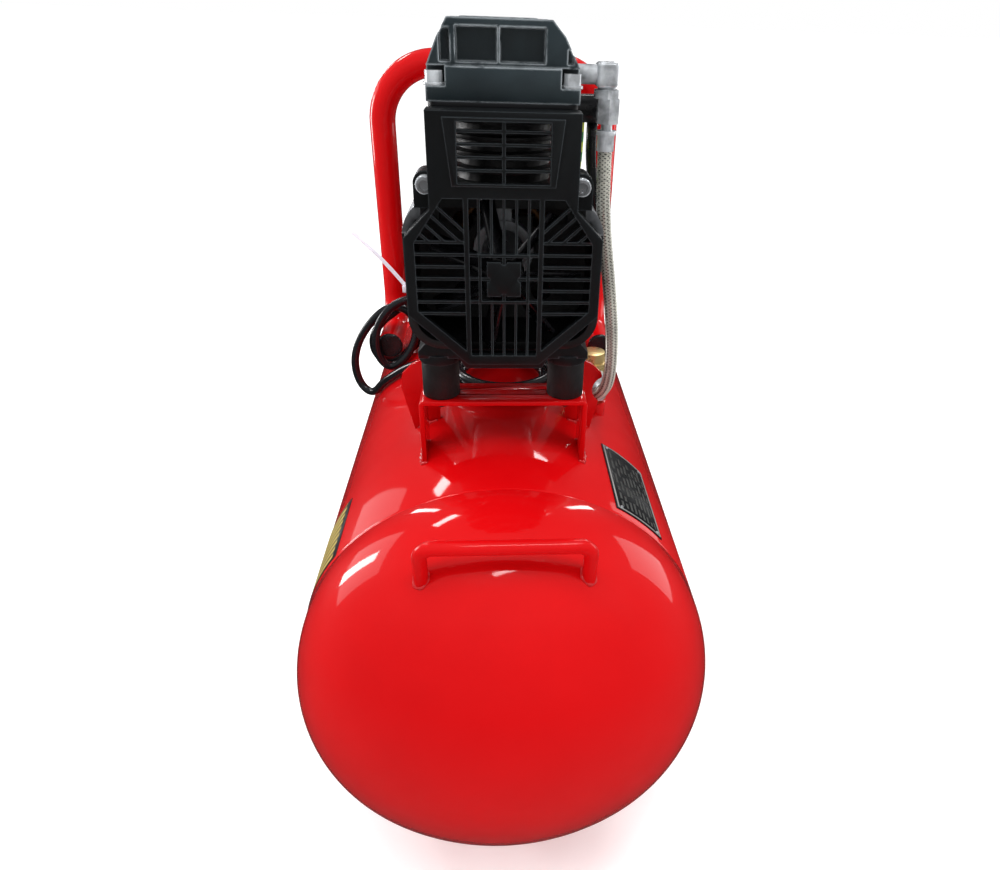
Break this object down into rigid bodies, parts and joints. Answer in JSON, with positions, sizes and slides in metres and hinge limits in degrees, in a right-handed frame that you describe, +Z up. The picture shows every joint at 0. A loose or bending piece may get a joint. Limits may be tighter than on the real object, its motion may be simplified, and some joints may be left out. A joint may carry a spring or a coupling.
{
  "type": "air compressor",
  "caption": "Portable air compressor: horizontal tank on wheels and feet, twin-head oil-free pump on rubber feet, push handle, switch group and mains lead.",
  "frame": {"origin": "floor level, under the centre of the tank", "axes": "+Z up, the tank lies along Y, its front end with the lifting bar points to -Y, +X to the right seen from the front"},
  "size_m": [0.338, 0.6454, 0.6465],
  "materials": {
    "tank_paint": "gloss red enamel",
    "black_enamel": "satin black enamel",
    "cast_black": "black painted casting with bare edges",
    "bare_aluminium": "fine cast and machined aluminium",
    "bright_steel": "zinc plated steel",
    "dark_steel": "machined steel",
    "brass": "machined brass",
    "cover_plastic": "moulded black plastic with a fine satin grain",
    "black_gloss_plastic": "moulded black plastic",
    "black_rubber": "matt moulded rubber",
    "tyre": "ribbed solid rubber",
    "rim_plastic": "moulded dark grey plastic",
    "copper_winding": "steel laminations with enamelled copper",
    "plate_print": "dark anodised plate with a bright rim",
    "braid": "braided stainless steel wire",
    "clear_lens": "clear polycarbonate",
    "needle_black": "matt black",
    "knob_red": "red moulded plastic",
    "cord_black": "glossy black cable sheath"
  },
  "bodies": {
    "root": {"tank_shell": "tank_paint", "front_dome": "tank_paint", "rear_dome": "tank_paint", "tank_bungs": "tank_paint", "front_lift_bar": "tank_paint", "pump_straps": "tank_paint", "gusset_plates": "tank_paint", "name_plates": "plate_print", "pump_feet": "black_rubber", "foot_cups": "bright_steel", "handle_tube": "tank_paint", "handle_end_plugs": "black_gloss_plastic", "tank_brackets": "tank_paint", "axle_bolts": "bright_steel", "leg_pads": "black_rubber", "drain_body": "brass", "motor_housing": "bare_aluminium", "stator": "copper_winding", "shaft_bearings": "dark_steel", "crankcases": "bare_aluminium", "cylinders": "bare_aluminium", "valve_plates": "dark_steel", "cylinder_heads": "cast_black", "head_bolts": "bright_steel", "fan_grilles": "cover_plastic", "grille_bolts": "bright_steel", "foot_frames": "black_enamel", "cross_pipe": "bright_steel", "hose_fittings": "bright_steel", "braided_hose": "braid", "check_valve": "brass", "pump_wiring": "black_gloss_plastic", "switch_base": "cover_plastic", "switch_cover": "cover_plastic", "manifold": "bare_aluminium", "gauge_cases": "bright_steel", "gauge_lenses": "clear_lens", "safety_valve": "brass", "coupler_body": "brass", "cable_gland": "black_gloss_plastic", "power_cord": "cord_black", "cord_coil": "cord_black", "plug": "cord_black"},
    "left_wheel": {"left_rim": "rim_plastic", "left_tyre": "tyre"},
    "right_wheel": {"right_rim": "rim_plastic", "right_tyre": "tyre"},
    "crank": {"rotor_shaft": "dark_steel", "cooling_fans": "black_gloss_plastic"},
    "front_rod_body": {"front_rod": "bare_aluminium"},
    "rear_rod_body": {"rear_rod": "bare_aluminium"},
    "front_piston_body": {"front_piston": "bare_aluminium"},
    "rear_piston_body": {"rear_piston": "bare_aluminium"},
    "power_knob": {"switch_knob": "knob_red"},
    "regulator": {"regulator_knob": "black_gloss_plastic"},
    "tank_pointer": {"tank_needle": "needle_black"},
    "outlet_pointer": {"outlet_needle": "needle_black"},
    "relief_ring": {"safety_ring": "bright_steel"},
    "sleeve": {"coupler_sleeve": "bright_steel"},
    "drain": {"drain_knob": "brass"}
  },
  "joints": [
    {"name": "left_wheel_spin", "type": "hinge", "parent": "root", "child": "left_wheel", "pos_m": [-0.149, 0.13, 0.075], "axis": [1, 0, 0], "continuous": true},
    {"name": "right_wheel_spin", "type": "hinge", "parent": "root", "child": "right_wheel", "pos_m": [0.149, 0.13, 0.075], "axis": [1, 0, 0], "continuous": true},
    {"name": "crank_spin", "type": "hinge", "parent": "root", "child": "crank", "pos_m": [0, -0.033, 0.508], "axis": [0, 1, 0], "continuous": true},
    {"name": "front_rod_turn", "type": "hinge", "parent": "crank", "child": "front_rod_body", "pos_m": [0, -0.118, 0.513], "axis": [0, 1, 0], "continuous": true},
    {"name": "rear_rod_turn", "type": "hinge", "parent": "crank", "child": "rear_rod_body", "pos_m": [0, 0.052, 0.503], "axis": [0, 1, 0], "continuous": true},
    {"name": "front_piston_stroke", "type": "slide", "parent": "root", "child": "front_piston_body", "axis": [0, 0, 1], "range_m": [-0.01, 0]},
    {"name": "rear_piston_stroke", "type": "slide", "parent": "root", "child": "rear_piston_body", "axis": [0, 0, 1], "range_m": [0, 0.01]},
    {"name": "power_knob_pull", "type": "slide", "parent": "root", "child": "power_knob", "axis": [0, 0, 1], "range_m": [0, 0.008]},
    {"name": "regulator_turn", "type": "hinge", "parent": "root", "child": "regulator", "pos_m": [0.075, 0.178, 0.416], "axis": [1, 0, 0], "range_deg": [-360, 720]},
    {"name": "tank_gauge_turn", "type": "hinge", "parent": "root", "child": "tank_pointer", "pos_m": [-0.04, 0.219, 0.416], "axis": [0, -1, 0], "range_deg": [0, 270]},
    {"name": "outlet_gauge_turn", "type": "hinge", "parent": "root", "child": "outlet_pointer", "pos_m": [0.006, 0.219, 0.416], "axis": [0, -1, 0], "range_deg": [0, 270]},
    {"name": "relief_ring_pull", "type": "slide", "parent": "root", "child": "relief_ring", "axis": [-1, 0, 0], "range_m": [0, 0.004]},
    {"name": "coupler_sleeve_slide", "type": "slide", "parent": "root", "child": "sleeve", "axis": [0, -1, 0], "range_m": [0, 0.005]},
    {"name": "drain_turn", "type": "hinge", "parent": "root", "child": "drain", "pos_m": [0, 0.02, 0.06], "axis": [0, 0, 1], "range_deg": [0, 360]}
  ],
  "couplings": [
    {"joint": "front_rod_turn", "follows": "crank_spin", "ratio": -1},
    {"joint": "rear_rod_turn", "follows": "crank_spin", "ratio": -1}
  ]
}
